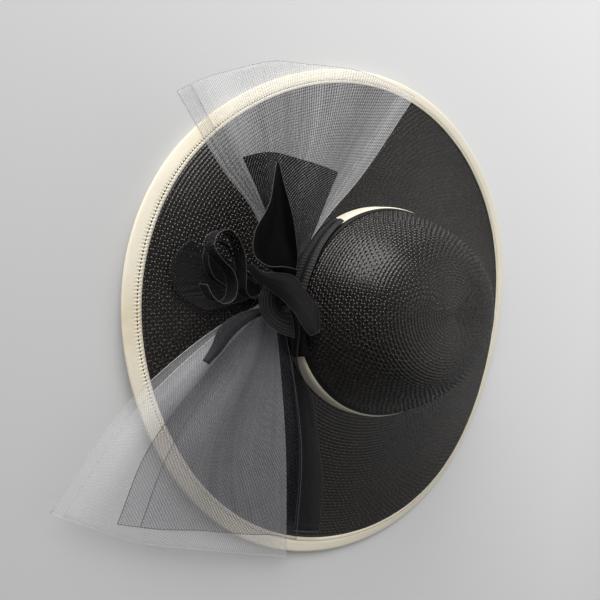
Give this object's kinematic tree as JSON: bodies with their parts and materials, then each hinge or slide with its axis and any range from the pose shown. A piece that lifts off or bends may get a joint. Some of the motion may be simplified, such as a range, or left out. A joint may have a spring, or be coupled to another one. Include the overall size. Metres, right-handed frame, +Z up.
{
  "type": "straw hat",
  "caption": "Wide-brimmed dark straw hat with an oval crown, a cream edge binding and band, and a black and grey crinoline net bow.",
  "frame": {"origin": "bottom centre of the hat's bounding box, on the surface that the hat stands on", "axes": "+Z up along the crown's axis, +X away from the bow along the crown's long axis, +Y across the brim to the hat's side above the bow in the picture"},
  "size_m": [0.4356, 0.4106, 0.0924],
  "materials": {
    "straw": "glossy black-brown sewn straw braid",
    "binding": "cream cotton tape with a row of hem-stitch holes",
    "ribbon": "cream ribbed ribbon",
    "sash": "black net, ruched and drawn tight",
    "grey_net": "grey crinoline net",
    "pale_net": "pale warm grey crinoline net",
    "dark_net": "dark bluish grey crinoline net",
    "black_net": "black crinoline net with a corded edge"
  },
  "bodies": {
    "root": {"crown": "straw", "brim": "straw", "brim_binding": "binding", "crown_band": "ribbon", "crown_sash": "sash", "sash_gather": "sash", "bow_knot": "sash", "upper_net_fan": "grey_net", "lower_net_back": "pale_net", "lower_net_front": "dark_net", "net_strip": "black_net", "bow_petal_back": "black_net", "bow_curl": "black_net", "bow_curl_tail": "black_net", "bow_roll": "black_net", "bow_loop_upper": "black_net", "bow_loop_lower": "black_net", "bow_petal_left": "black_net", "bow_tail_left": "black_net"}
  },
  "joints": []
}
